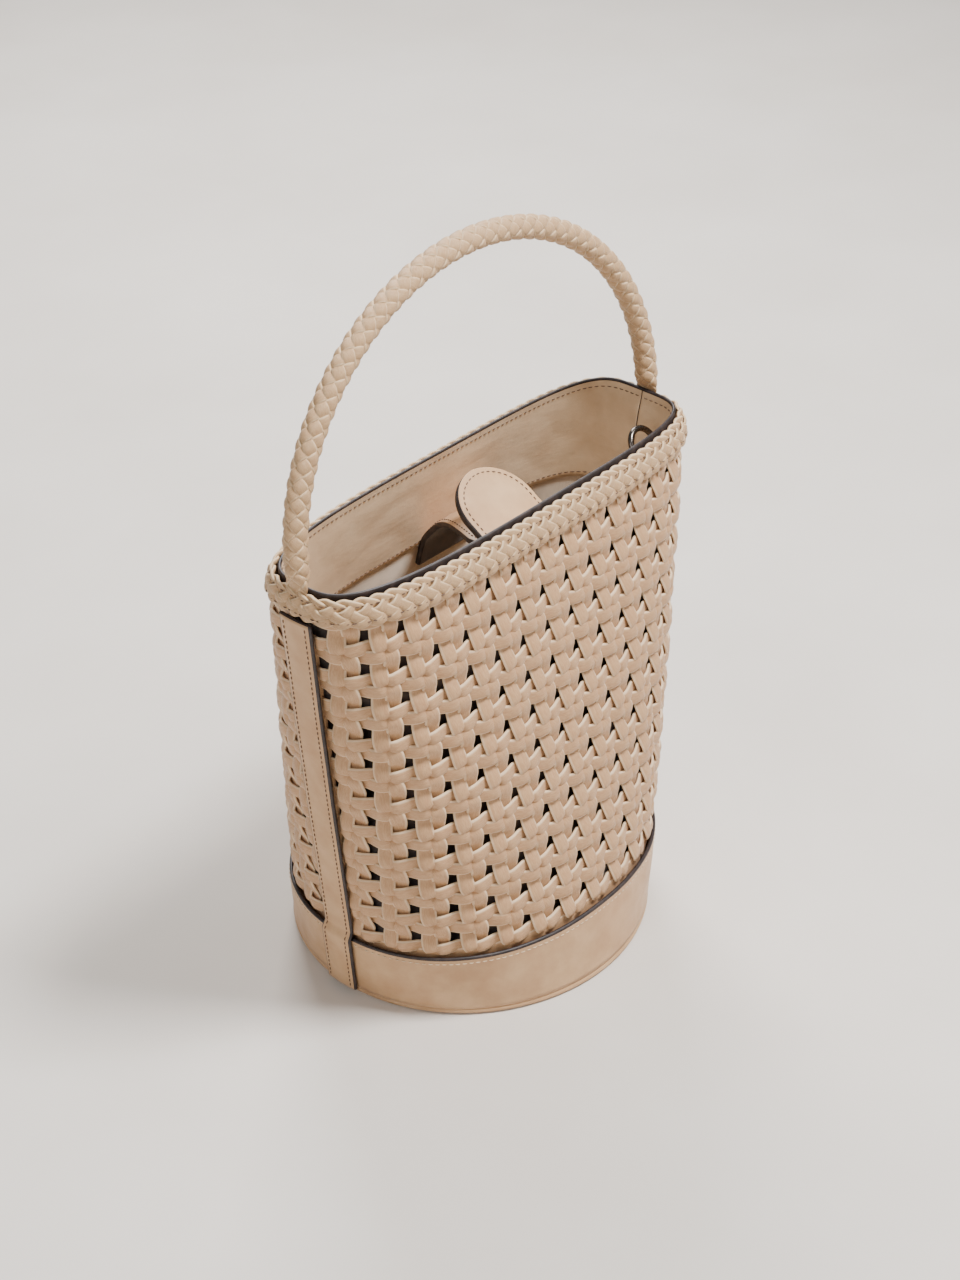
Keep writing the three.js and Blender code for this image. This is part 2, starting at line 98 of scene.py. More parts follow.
CAMERA_AT = (-0.7134, -0.6416, 0.8041)
CAMERA_BACK = (-0.622, -0.549, 0.558)
CAMERA_LENS = 68.9


def add_camera():
    data = bpy.data.cameras.new("camera")
    data.lens = CAMERA_LENS
    data.sensor_width = 36
    data.sensor_fit = "AUTO"
    data.clip_start = 0.01
    data.clip_end = 50
    camera = bpy.data.objects.new("camera", data)
    bpy.context.scene.collection.objects.link(camera)
    camera.rotation_mode = "QUATERNION"
    camera.location = CAMERA_AT
    camera.rotation_quaternion = (-Vector(CAMERA_BACK)).to_track_quat("-Z", "Y")
    bpy.context.scene.camera = camera


add_camera()

# ---------------- the wall's outline

BASE_PANEL_OUTSET = 2.4  # the base panel is this much wider than the lining's outline
SQUARENESS_LEFT = (2.0, 3.3)  # superellipse powers at the floor and at the mouth
SQUARENESS_RIGHT = (2.0, 4.4)

base_low, base_high = node_box("base_panel")
front_low, front_high = node_box("facing_front")
rim_low, rim_high = node_box("rim_braid")
RIM_BOTTOM, RIM_HEIGHT = rim_low[2], rim_high[2]
FACING_TOP = front_high[2]
FACING_BOTTOM = front_low[2]
BAND_BOTTOM, BAND_TOP = (corner[2] for corner in node_box("base_band_front"))
STRIP_BOTTOM, STRIP_TOP = (corner[2] for corner in node_box("side_strip_left"))
STRIP_WIDTH = 17.0

FLOOR_HALF = (base_high - base_low)[:2] / 2 - BASE_PANEL_OUTSET
FLOOR_CENTRE = (base_high + base_low)[:2] / 2
RIM_OUTSET = 7.3  # at its foot the mouth braid reaches this far out of the lining's outline


def at_mouth(floor, value, z):
    """What a size that changes evenly with height is at the mouth, from its value at height z."""
    share = z / RIM_HEIGHT
    return (value - (1 - share) * floor) / share


half_there = (front_high[0] - front_low[0]) / 2
depth_there = (rim_high[1] - rim_low[1]) / 2 - RIM_OUTSET
centre_there = (rim_high[1] + rim_low[1]) / 2
MOUTH_HALF = np.array([at_mouth(FLOOR_HALF[0], half_there, FACING_TOP),
                       at_mouth(FLOOR_HALF[1], depth_there, RIM_BOTTOM)])
MOUTH_CENTRE = np.array([0.0, at_mouth(FLOOR_CENTRE[1], centre_there, RIM_BOTTOM)])

GRID_STEP = 2.0
GRID_HEIGHTS = np.arange(0, 261, GRID_STEP)
GRID_AROUND = 1600


def wall_grid():
    """Points and outward normals of the wall, by height and by share of the way round.
    The way round starts at the left end, runs along the front to 1 and back to 2."""
    half = GRID_AROUND // 2
    theta = np.linspace(math.pi, 0, 4001)
    across = np.cos(theta)
    rows, lengths = [], []
    for z in GRID_HEIGHTS:
        share = z / RIM_HEIGHT
        half_width, half_depth = mix(FLOOR_HALF, MOUTH_HALF, share)
        centre = mix(FLOOR_CENTRE, MOUTH_CENTRE, share)
        left = mix(*SQUARENESS_LEFT, share)
        right = mix(*SQUARENESS_RIGHT, share)
        power = np.where(across < 0, left, right)
        x = np.sign(across) * half_width * np.abs(across) ** (2 / power)
        y = half_depth * np.abs(np.sin(theta)) ** (2 / power)
        along = np.concatenate([[0], np.cumsum(np.hypot(np.diff(x), np.diff(y)))])
        even = np.linspace(0, along[-1], half + 1)
        xs, ys = np.interp(even, along, x), np.interp(even, along, y)
        front = np.stack([centre[0] + xs, centre[1] - ys], 1)[:-1]
        back = np.stack([centre[0] + xs, centre[1] + ys], 1)[::-1][:-1]
        ring = np.concatenate([front, back])
        rows.append(np.column_stack([ring, np.full(len(ring), z)]))
        lengths.append(along[-1])
    points = np.array(rows)
    around = np.roll(points, -2, 1) - np.roll(points, 2, 1)
    upwards = np.gradient(points, axis=0)
    return points, unit(np.cross(around, upwards)), np.array(lengths)


WALL_POINTS, WALL_NORMALS, WALL_LENGTHS = wall_grid()


def half_length(z):
    """Length of half the way round at a height."""
    return np.interp(z, GRID_HEIGHTS, WALL_LENGTHS)


def wall(v, z, d):
    """Points at share v round the wall and at height z, d out of the lining's outer face. d is
    measured level, so a height stays what it was."""
    v, z, d = np.broadcast_arrays(*(np.asarray(a, float) for a in (v, z, d)))
    column = (v % 2) / 2 * GRID_AROUND
    row = np.clip(z / GRID_STEP, 0, len(GRID_HEIGHTS) - 1.001)
    c0, r0 = np.floor(column).astype(int), np.floor(row).astype(int)
    cf, rf = (column - c0)[..., None], (row - r0)[..., None]
    c0, c1 = c0 % GRID_AROUND, (c0 + 1) % GRID_AROUND

    def sample(grid):
        low = mix(grid[r0, c0], grid[r0, c1], cf)
        high = mix(grid[r0 + 1, c0], grid[r0 + 1, c1], cf)
        return mix(low, high, rf)

    level_normal = unit(sample(WALL_NORMALS) * (1, 1, 0))
    return sample(WALL_POINTS) + level_normal * d[..., None]


# ---------------- mesh making


class Piece:
    """Collects grids of points into one mesh of quads, with closed ends."""

    def __init__(self, name):
        self.name = name
        self.points, self.edge, self.along, self.faces, self.slots = [], [], [], [], []
        self.count = 0

    def grid(self, points, wrap=True, caps=True, edge=None, along=None, tint=0.0, slots=0):
        """points is rows by columns by 3. wrap joins the last column to the first.
        slots is a material number, or one for each column of faces."""
        rows, columns = points.shape[:2]
        index = np.arange(rows * columns).reshape(rows, columns) + self.count
        right = np.roll(index, -1, 1) if wrap else index[:, 1:]
        left = index if wrap else index[:, :-1]
        quads = np.stack([left[:-1], right[:-1], right[1:], left[1:]], -1)
        numbers = np.broadcast_to(slots, quads.shape[:2])
        self.faces.extend(quads.reshape(-1, 4).tolist())
        self.slots.extend(numbers.reshape(-1).tolist())
        if wrap and caps:
            self.faces.append(index[0][::-1].tolist())
            self.faces.append(index[-1].tolist())
            self.slots.extend([int(np.max(slots))] * 2)
        edge = np.zeros(columns) if edge is None else np.asarray(edge, float)
        along = np.zeros(rows) if along is None else np.asarray(along, float)
        self.points.append(points.reshape(-1, 3))
        self.edge.append(np.broadcast_to(edge, (rows, columns)).reshape(-1))
        across = np.broadcast_to(np.linspace(0, 1, columns), (rows, columns))
        lengthwise = np.broadcast_to(along[:, None], (rows, columns))
        local = np.stack([lengthwise, across, np.full((rows, columns), tint)], -1)
        self.along.append(local.reshape(-1, 3))
        self.count += rows * columns

    def build(self, materials, body=None, replaces=()):
        mesh = bpy.data.meshes.new(self.name)
        points = np.concatenate(self.points) * MM
        mesh.from_pydata(points.tolist(), [], self.faces)
        mesh.polygons.foreach_set("material_index", self.slots)
        mesh.polygons.foreach_set("use_smooth", [True] * len(self.faces))
        edge = mesh.attributes.new("edge", "FLOAT", "POINT")
        edge.data.foreach_set("value", np.concatenate(self.edge).astype(np.float32))
        local = mesh.attributes.new("strip", "FLOAT_VECTOR", "POINT")
        local.data.foreach_set("vector", np.concatenate(self.along).astype(np.float32).ravel())
        for material in materials:
            mesh.materials.append(material)
        mesh.update()
        outward(mesh)
        obj = bpy.data.objects.new(self.name, mesh)
        bpy.context.scene.collection.objects.link(obj)
        if body:
            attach(obj, body)
        if replaces:
            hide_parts(*replaces)
        return obj


def outward(mesh):
    """Turns every face to point out of its own closed part."""
    work = bmesh.new()
    work.from_mesh(mesh)
    bmesh.ops.recalc_face_normals(work, faces=work.faces)
    work.to_mesh(mesh)
    work.free()


def ribbon(s, z, d, section, width=1.0, thick=1.0, crown=0.0):
    """A band of leather laid along the wall, as a grid of points. s, z and d are its centre line:
    distance round the wall at the reference length, height, and distance out of the lining.
    section holds (across, out, share of the crown) points. width, thick and crown may change
    along the way."""
    s, z, d = (np.asarray(a, float) for a in (s, z, d))
    width, thick, crown = (np.broadcast_to(a, s.shape)[:, None] for a in (width, thick, crown))
    ds, dz, dd = np.gradient(s), np.gradient(z), np.gradient(d)
    flat = np.hypot(ds, dz)
    slope = np.hypot(flat, dd)
    ts, tz = (ds / flat)[:, None], (dz / flat)[:, None]
    rise, run = (dd / slope)[:, None], (flat / slope)[:, None]
    x = section[:, 0][None, :] * width
    h = section[:, 1][None, :] * thick + section[:, 2][None, :] * crown
    at_s = s[:, None] - tz * x - ts * h * rise
    at_z = z[:, None] + ts * x - tz * h * rise
    at_d = d[:, None] + h * run
    return at_s, at_z, at_d


def strip_section(half_width, thickness):
    """A folded leather strip's section: a bowed outer face, round edges, a bowed back."""
    half = thickness / 2
    lip = min(0.3, half * 0.5)
    outer = np.array([-0.88, -0.6, -0.3, 0, 0.3, 0.6, 0.88])
    inner = np.array([0.85, 0, -0.85])
    rows = [(-half_width, 0.1 * half, 0.0)]
    rows += [(x * half_width, half, 1 - x ** 2) for x in outer]
    rows += [(half_width, 0.1 * half, 0.0)]
    rows += [(x * half_width, -half, 0.75 * (1 - x ** 2)) for x in inner]
    rows[1] = (-half_width + lip, half * 0.86, 0.12)
    rows[7] = (half_width - lip, half * 0.86, 0.12)
    return np.array(rows)


# How much of the painted edge highlight each point of a strip's section takes.
STRIP_EDGE_HIGHLIGHT = np.array([1, 0.9, 0.1, 0, 0, 0, 0.1, 0.9, 1, 0.2, 0, 0.2])

# ---------------- materials


def srgb(red, green, blue):
    def linear(value):
        value /= 255
        return value / 12.92 if value <= 0.04045 else ((value + 0.055) / 1.055) ** 2.4
    return (linear(red), linear(green), linear(blue), 1.0)


class Nodes:
    """A short way to write a material's node tree."""

    def __init__(self, name):
        self.material = bpy.data.materials.new(name)
        self.material.use_nodes = True
        self.tree = self.material.node_tree
        self.shader = self.tree.nodes["Principled BSDF"]

    def new(self, kind, **settings):
        node = self.tree.nodes.new(kind)
        for key, value in settings.items():
            if key in node.inputs:
                node.inputs[key].default_value = value
            else:
                setattr(node, key, value)
        return node

    def link(self, source, target):
        self.tree.links.new(source, target)

    def noise(self, vector, scale, detail=3.0, rough=0.55):
        node = self.new("ShaderNodeTexNoise", Scale=scale, Detail=detail, Roughness=rough)
        self.link(vector, node.inputs["Vector"])
        return node.outputs["Fac"]

    def place(self, stretch=(1, 1, 1), offset=None):
        coordinates = self.new("ShaderNodeTexCoord")
        mapping = self.new("ShaderNodeMapping", Scale=stretch)
        self.link(coordinates.outputs["Object"], mapping.inputs["Vector"])
        if offset is not None:
            self.link(offset, mapping.inputs["Location"])
        return mapping.outputs["Vector"]

    def attribute(self, name):
        return self.new("ShaderNodeAttribute", attribute_name=name)

    def span(self, value, low, high, out_low=0.0, out_high=1.0):
        node = self.new("ShaderNodeMapRange")
        for key, number in (("From Min", low), ("From Max", high), ("To Min", out_low),
                            ("To Max", out_high)):
            node.inputs[key].default_value = number
        self.link(value, node.inputs["Value"])
        return node.outputs["Result"]

    def math(self, operation, a, b):
        node = self.new("ShaderNodeMath", operation=operation)
        for socket, value in zip(node.inputs, (a, b)):
            if isinstance(value, (int, float)):
                socket.default_value = value
            else:
                self.link(value, socket)
        return node.outputs[0]

    def blend(self, factor, a, b, kind="MIX"):
        node = self.new("ShaderNodeMix", data_type="RGBA", blend_type=kind)
        if isinstance(factor, (int, float)):
            node.inputs["Factor"].default_value = factor
        else:
            self.link(factor, node.inputs["Factor"])
        colours = [socket for socket in node.inputs if socket.type == "RGBA"]
        for socket, value in zip(colours, (a, b)):
            if isinstance(value, tuple):
                socket.default_value = value
            else:
                self.link(value, socket)
        return [socket for socket in node.outputs if socket.type == "RGBA"][0]

    def bump(self, height, strength, distance, before=None):
        node = self.new("ShaderNodeBump", Strength=strength, Distance=distance)
        self.link(height, node.inputs["Height"])
        if before is not None:
            self.link(before, node.inputs["Normal"])
        return node.outputs["Normal"]

    def finish(self, colour, roughness, normal, **constants):
        self.link(colour, self.shader.inputs["Base Color"])
        if isinstance(roughness, float):
            self.shader.inputs["Roughness"].default_value = roughness
        else:
            self.link(roughness, self.shader.inputs["Roughness"])
        if normal is not None:
            self.link(normal, self.shader.inputs["Normal"])
        for key, value in constants.items():
            self.shader.inputs[key.replace("_", " ")].default_value = value
        return self.material


def leather(name, light, deep, edge, rough=(0.42, 0.62), grain=0.10, creases=0.35, strips=False):
    """Beige leather: soft mottling, fine pores, creases, and edges painted paler as a highlight."""
    n = Nodes(name)
    local = n.attribute("strip")
    here = n.place(offset=local.outputs["Vector"]) if strips else n.place()
    mottle = n.noise(here, 55, 4.0)
    wide = n.noise(here, 16, 2.0)
    colour = n.blend(n.span(mottle, 0.32, 0.68), light, deep)
    warm = (deep[0] * 1.0, deep[1] * 0.90, deep[2] * 0.86, 1.0)
    colour = n.blend(n.span(wide, 0.45, 0.72, 0.0, 0.45), colour, warm)
    speck = n.noise(here, 1500, 2.0, 0.7)
    colour = n.blend(n.span(speck, 0.58, 0.75, 0.0, 0.30), colour, deep)
    # Painted highlight: points along a strip's edges take the paler edge colour, standing in for
    # light catching the rounded edges.
    edge_highlight = n.attribute("edge").outputs["Fac"]
    colour = n.blend(n.span(edge_highlight, 0.35, 1.0, 0.0, 0.75), colour, edge)
    pores = n.new("ShaderNodeTexVoronoi", Scale=1300.0, feature="DISTANCE_TO_EDGE")
    n.link(here, pores.inputs["Vector"])
    fine = n.span(pores.outputs["Distance"], 0.0, 0.12)
    folds = n.noise(n.place((1, 1, 3.2), local.outputs["Vector"] if strips else None), 130, 5.0, 0.6)
    normal = n.bump(fine, grain, 0.00012)
    normal = n.bump(folds, creases, 0.0006, normal)
    roughness = n.span(mottle, 0.3, 0.7, *rough)
    return n.finish(colour, roughness, normal, Specular_IOR_Level=0.42, Coat_Weight=0.05,
                    Coat_Roughness=0.35, Sheen_Weight=0.08, Sheen_Roughness=0.5)


def painted_edge(name):
    """Dark brown edge paint, slightly glossy, worn lighter in places."""
    n = Nodes(name)
    here = n.place()
    colour = n.blend(n.span(n.noise(here, 260, 3.0), 0.45, 0.75), srgb(38, 30, 30), srgb(66, 54, 52))
    normal = n.bump(n.noise(here, 700, 3.0), 0.25, 0.0002)
    return n.finish(colour, 0.48, normal, Specular_IOR_Level=0.45)


def thread(name, light, dark):
    """Twisted sewing thread."""
    n = Nodes(name)
    wave = n.new("ShaderNodeTexWave", Scale=900.0, Distortion=1.0)
    n.link(n.place(), wave.inputs["Vector"])
    colour = n.blend(wave.outputs["Fac"], light, dark)
    return n.finish(colour, 0.7, n.bump(wave.outputs["Fac"], 0.4, 0.0001), Sheen_Weight=0.2)


def cloth(name, light, dark, scale):
    """Woven lining cotton: two crossed sets of yarns, with soft shade variation."""
    n = Nodes(name)
    here = n.place()
    waves = []
    for direction in ("X", "Z"):
        wave = n.new("ShaderNodeTexWave", Scale=scale, Distortion=0.6, bands_direction=direction)
        n.link(here, wave.inputs["Vector"])
        waves.append(wave.outputs["Fac"])
    weave = n.math("MULTIPLY", *waves)
    tone = n.span(n.noise(here, 40, 4.0), 0.35, 0.65)
    colour = n.blend(n.math("MULTIPLY", tone, n.span(weave, 0.0, 1.0, 0.75, 1.0)), dark, light)
    return n.finish(colour, 0.9, n.bump(weave, 0.35, 0.0003), Specular_IOR_Level=0.2,
                    Sheen_Weight=0.3, Sheen_Roughness=0.6)


def metal(name, colour):
    """Dark nickel with fine handling scratches."""
    n = Nodes(name)
    scratches = n.noise(n.place((1, 9, 1)), 600, 4.0)
    tint = n.blend(n.span(scratches, 0.4, 0.7, 0.0, 0.4), colour, srgb(120, 112, 106))
    roughness = n.span(scratches, 0.35, 0.7, 0.16, 0.34)
    return n.finish(tint, roughness, n.bump(scratches, 0.05, 0.0001), Metallic=1.0)


def floor_material():
    n = Nodes("studio_floor")
    tone = n.noise(n.place(), 6, 5.0)
    colour = n.blend(n.span(tone, 0.3, 0.7), srgb(226, 219, 211), srgb(218, 210, 201))
    return n.finish(colour, 0.75, n.bump(n.noise(n.place(), 90, 5.0), 0.05, 0.001))


# The third colour of each leather is its painted edge highlight, used along the strips' edges.
WOVEN = leather("woven_leather", srgb(208, 168, 126), srgb(184, 140, 100), srgb(250, 226, 190),
                strips=True, creases=0.45, rough=(0.34, 0.50))
BRAIDED = leather("braided_leather", srgb(206, 172, 130), srgb(182, 142, 102), srgb(236, 210, 170),
                  strips=True, creases=0.5)
SMOOTH = leather("smooth_leather", srgb(204, 166, 124), srgb(184, 144, 104), srgb(214, 178, 136),
                 creases=0.28)
FACING = leather("facing_leather", srgb(228, 200, 164), srgb(208, 178, 142), srgb(230, 202, 166),
                 rough=(0.5, 0.7), creases=0.30)
EDGE = painted_edge("edge_paint")
PALE_THREAD = thread("pale_thread", srgb(226, 205, 172), srgb(190, 162, 128))
DARK_THREAD = thread("dark_thread", srgb(110, 84, 64), srgb(70, 50, 38))
LINING = cloth("lining_cotton", srgb(222, 202, 178), srgb(190, 170, 148), 520.0)
# Dark suede for the strap's underside, and painted shade for the faces seen through the weave's
# holes.
SUEDE_AND_SHADE = cloth("dark_suede_and_shade", srgb(74, 58, 48), srgb(52, 40, 34), 700.0)
BOARD = cloth("fibre_board", srgb(150, 140, 128), srgb(120, 110, 100), 200.0)
CORD = cloth("cotton_cord", srgb(225, 216, 200), srgb(190, 180, 165), 300.0)
NICKEL = metal("dark_nickel", srgb(92, 86, 82))

# ---------------- woven side panels

PITCH = 18.13  # from hole to hole, up the wall
HOLE_TOP = 231.0  # height of the top row of holes
HOLE_ROWS = 12
HOLE_COLUMNS = 18
FIRST_COLUMN = (0.0745, 0.106)  # share of the half outline at the floor and at the mouth
COLUMN_STEP = (0.0685, 0.0596)
HOLE_SPREAD = 2.45  # strips beside a hole stand this much further from it
SWAY = 0.2  # where a strip lies over, it leans this much towards the hole beside it
UPRIGHT_SWIRL = 1.05  # and swings sideways by this much, which turns the patch that shows
LEVEL_SWIRL = 0.65
JITTER = 0.18  # hand-made unevenness
STRIP_HALF = 3.75
STRIP_THICK = 1.5
UNDER_LEVEL = 1.15  # how far out a strip's middle lies where it goes under
OVER_LEVEL = 3.6  # and where it goes over
PRESSED_LEVEL = 1.62  # and where another piece is sewn over it
CROWN_OVER = 0.7
CROWN_UNDER = 0.2
ARCH_REACH = 0.2  # above 0, a strip stays up for more than half of its way
PER_CROSSING = 8  # rows of points from one crossing to the next
UPRIGHTS_FROM, UPRIGHTS_TO = 246, 8
LEVELS_LOWEST, LEVELS_HIGHEST = 26, 243
UPRIGHT_END_CLEARANCE, LEVEL_END_CLEARANCE = 4.5, 3.6  # from the end seams

SECTION = strip_section(STRIP_HALF, STRIP_THICK)


def sharpened(wave, power=0.8):
    return np.sign(wave) * np.abs(wave) ** power


def arched(phase):
    """1 where a strip crosses over, 0 from where it dives until it comes up again."""
    wave = (np.cos(phase) + ARCH_REACH) / (1 + ARCH_REACH)
    return 0.5 * (wave + np.sqrt(wave ** 2 + 0.02)) / 1.005


def strip_shape(phase, free, lift):
    """Level, thickness and crown of a strip along its way."""
    over = arched(phase)
    level = mix(PRESSED_LEVEL, mix(UNDER_LEVEL, OVER_LEVEL * lift, over), free)
    return level, mix(0.8, 1.0, free), mix(0.15, mix(CROWN_UNDER, CROWN_OVER, over), free)


def level_rows():
    """Heights of the level strips from the top down, each with its kind: 0 runs below a row of
    holes, 1 above the next row."""
    rows = []
    for row in range(-1, HOLE_ROWS):
        hole = HOLE_TOP - row * PITCH
        rows.append((hole - PITCH / 4 - HOLE_SPREAD, 0))
        rows.append((hole - 3 * PITCH / 4 + HOLE_SPREAD, 1))
    return rows


def column_share(column, kind, z):
    """Share of the half outline at which an upright strip's middle lies. Kind 0 stands at the
    right of its column of holes, kind 1 at the left of the next."""
    share = z / RIM_HEIGHT
    step = mix(*COLUMN_STEP, share)
    hole = mix(*FIRST_COLUMN, share) + (column - 1) * step
    spread = HOLE_SPREAD / PITCH
    return hole + step * ((0.25 + spread) if kind == 0 else (0.75 - spread))


def pressed(z, s, total):
    """How free the weave stands out: 0 where another piece is sewn over it, 1 in the open."""
    at_top = 1 - ease(z, RIM_BOTTOM - 3, RIM_BOTTOM + 2.5)
    at_foot = ease(z, BAND_TOP - 1.5, BAND_TOP + 3.5)
    at_ends = ease(np.minimum(s, total - s), STRIP_WIDTH / 2 - 2.5, STRIP_WIDTH / 2 + 2.0)
    return at_top * at_foot * at_ends


def woven_panel(start, name):
    """Two pieces, the upright and the level strips. start is the share round the wall, 0 or 1.
    Uprights lie over at a hole's upper left and lower right, and level strips at the other two
    corners. A strip's phase is a whole turn from where it goes over to where it does so again."""
    rows = level_rows()
    row_heights = np.array([height for height, kind in rows])
    uprights = Piece(f"woven_uprights_{name}")
    for column in range(0, HOLE_COLUMNS):
        for kind in (0, 1):
            first = next(i for i, (height, row_kind) in enumerate(rows) if row_kind == kind)
            phase_at = math.pi * (np.arange(len(rows)) - first)
            length = UPRIGHTS_FROM - UPRIGHTS_TO
            z = np.linspace(UPRIGHTS_FROM, UPRIGHTS_TO, int(length / (PITCH / 2) * PER_CROSSING))
            phase = np.interp(-z, -row_heights, phase_at)
            share = column_share(column, kind, z)
            total = half_length(z)
            sway = -SWAY if kind == 0 else SWAY
            jitter = JITTER * np.sin(z / 23 + random.uniform(0, 6))
            s = share * total + sway * np.cos(phase) + UPRIGHT_SWIRL * np.sin(phase) + jitter
            free = pressed(z, s, total)
            d, thick, crown = strip_shape(phase, free, random.uniform(0.97, 1.04))
            inside = (s > UPRIGHT_END_CLEARANCE) & (s < total - UPRIGHT_END_CLEARANCE)
            if inside.sum() < 12:
                continue
            keep = np.flatnonzero(inside)
            keep = np.arange(keep[0], keep[-1] + 1)
            size = random.uniform(0.97, 1.04)
            at_s, at_z, at_d = ribbon(s[keep], z[keep], d[keep], SECTION, size, thick[keep],
                                      crown[keep])
            v = start + at_s / half_length(at_z)
            uprights.grid(wall(v, at_z, at_d), edge=STRIP_EDGE_HIGHLIGHT, along=z[keep] * 0.01,
                          tint=random.uniform(0, 3))
    levels = Piece(f"woven_levels_{name}")
    for number, (height, kind) in enumerate(rows):
        if height < LEVELS_LOWEST or height > LEVELS_HIGHEST:
            continue
        total = half_length(height)
        columns = []
        for column in range(-1, HOLE_COLUMNS + 1):
            columns += [(column_share(column, k, height) * total, k) for k in (0, 1)]
        centres = np.array([centre for centre, k in columns])
        first = next(i for i, (centre, k) in enumerate(columns) if k != kind)
        s = np.arange(LEVEL_END_CLEARANCE, total - LEVEL_END_CLEARANCE, PITCH / 2 / PER_CROSSING)
        phase = np.interp(s, centres, math.pi * (np.arange(len(centres)) - first))
        sway = -SWAY if kind == 1 else SWAY
        jitter = JITTER * np.sin(s / 21 + random.uniform(0, 6))
        z = height + sway * np.cos(phase) + LEVEL_SWIRL * np.sin(phase) + jitter
        free = pressed(z, s, total)
        d, thick, crown = strip_shape(phase, free, random.uniform(0.97, 1.04))
        size = random.uniform(0.93, 1.0)
        at_s, at_z, at_d = ribbon(s, z, d, SECTION, size, thick, crown)
        v = start + at_s / total
        levels.grid(wall(v, at_z, at_d), edge=STRIP_EDGE_HIGHLIGHT, along=s * 0.01,
                    tint=random.uniform(0, 3))
    uprights.build([WOVEN], BAG, [f"woven_panel_{name}"])
    levels.build([WOVEN], BAG, [f"woven_panel_{name}"])


woven_panel(0, "front")
woven_panel(1, "back")

# ---------------- stitches


def stitch_rows(piece, points, normals, pitch=3.0, length=2.1, radius=0.30, sink=0.05):
    """Stitches along a line of points: short threads that dip into the leather at both ends."""
    along = line_lengths(points)
    count = max(int(along[-1] / pitch), 1)
    turn = np.linspace(0, 2 * math.pi, 6, endpoint=False)
    across = np.linspace(-1, 1, 6)
    for k in range(count):
        middle = (k + 0.5) * along[-1] / count
        at = middle + across * length / 2
        centre = sample_line(at, along, points)
        normal = unit(sample_line(at, along, normals))
        tangent = unit(np.gradient(centre, axis=0))
        binormal = np.cross(tangent, normal)
        lift = radius * 0.75 * (1 - across ** 2) - sink
        wide = radius * np.sqrt(np.clip(1 - np.abs(across) ** 3.0, 0.06, 1))
        centre = centre + normal * lift[:, None]
        ring = (np.cos(turn)[None, :, None] * normal[:, None, :]
                + np.sin(turn)[None, :, None] * binormal[:, None, :])
        piece.grid(centre[:, None, :] + ring * wide[:, None, None])


def wall_normals(v, z):
    return wall(v, z, 1.0) - wall(v, z, 0.0)


# ---------------- mouth braid

PLAIT_STRANDS = 5
PLAIT_PERIODS = 16
PLAIT_STEPS = 56  # rows of points in one period
PLAIT_SWING = 4.75
PLAIT_DEPTH = 0.72
PLAIT_SECTION = strip_section(2.3, 1.1)
RIM_MIDDLE = (RIM_BOTTOM + RIM_HEIGHT) / 2 + 0.7
RIM_STITCHES = 3.5  # above and below the middle
RIM_FOOT_LEVEL = 5.1  # the braid rests on the weave at its foot
RIM_CENTRE_LEVEL = 4.4
RIM_TOP_LEVEL = 1.7  # and rolls in to the facing's edge at its top


def rim_level(z):
    """How far out the middle of the mouth braid's thickness lies."""
    lower = mix(RIM_FOOT_LEVEL, RIM_CENTRE_LEVEL, ease(z, RIM_BOTTOM, RIM_BOTTOM + 6))
    return mix(lower, RIM_TOP_LEVEL, ease(z, RIM_HEIGHT - 7, RIM_HEIGHT - 0.5))


def mouth_braid():
    """A flat braid of five strands, each going over one and under one, sewn on near its edges."""
    piece = Piece("mouth_braid")
    total = 2 * half_length(RIM_MIDDLE)
    t = np.linspace(0, 1, PLAIT_PERIODS * PLAIT_STEPS + 1)
    for strand in range(PLAIT_STRANDS):
        phase = 2 * math.pi * (PLAIT_PERIODS * t + strand / PLAIT_STRANDS)
        z = RIM_MIDDLE + PLAIT_SWING * (np.sin(phase) - 0.06 * np.sin(3 * phase)) / 1.06
        lift = PLAIT_DEPTH * sharpened(np.sin(4 * phase), 0.7)
        turned = np.abs(np.sin(phase)) ** 3
        width = mix(1.0, 0.86, turned)
        at_s, at_z, at_d = ribbon(t * total, z, rim_level(z) + lift, PLAIT_SECTION, width,
                                  mix(1.0, 1.3, turned), 0.35)
        points = wall(at_s / total * 2, at_z, at_d)
        points[-1] = points[0]
        piece.grid(points, caps=False, edge=STRIP_EDGE_HIGHLIGHT, along=t * total * 0.02,
                   tint=float(strand))
    piece.build([BRAIDED], BAG, ["rim_braid"])
    stitches = Piece("mouth_braid_stitches")
    v = np.linspace(0, 2, 1600)
    for height in (RIM_MIDDLE + RIM_STITCHES, RIM_MIDDLE - RIM_STITCHES):
        points = wall(v, height, rim_level(height) + 1.25)
        stitch_rows(stitches, points, wall_normals(v, height), 3.1, 2.2, 0.30)
    stitches.build([DARK_THREAD], BAG)


mouth_braid()

# ---------------- sewn sheets of the wall


def ripple(a, b, seed, terms=6):
    """A smooth wavy field between about -1 and 1 over two coordinates in millimetres."""
    source = np.random.default_rng(seed)
    total = np.zeros(np.broadcast(a, b).shape)
    for k in range(terms):
        angle = source.uniform(0, math.pi)
        wave = source.uniform(18, 60)
        shift = source.uniform(0, 6.28)
        total += np.sin((a * math.cos(angle) + b * math.sin(angle)) * 2 * math.pi / wave + shift)
    return total / terms * 1.6


def sheet_section(heights, painted):
    """Section of a sheet from its foot to its top edge: outer face up, round edge, inner face down.
    Returns heights, levels between inner 0 and outer 1, the edge's bulge, and which faces are the
    painted edge. painted is how many rows of the outer face the paint covers."""
    bend = np.linspace(0, math.pi, 6)[1:-1]
    z = np.concatenate([heights, np.full(len(bend), heights[-1]), heights[::-1]])
    level = np.concatenate([np.ones(len(heights)), (np.cos(bend) + 1) / 2, np.zeros(len(heights))])
    lift = np.concatenate([np.zeros(len(heights)), np.sin(bend), np.zeros(len(heights))])
    top = np.zeros(len(z), int)
    top[len(heights) - 1 - painted:len(heights) + len(bend) + 1] = 1
    return z, level, lift, top


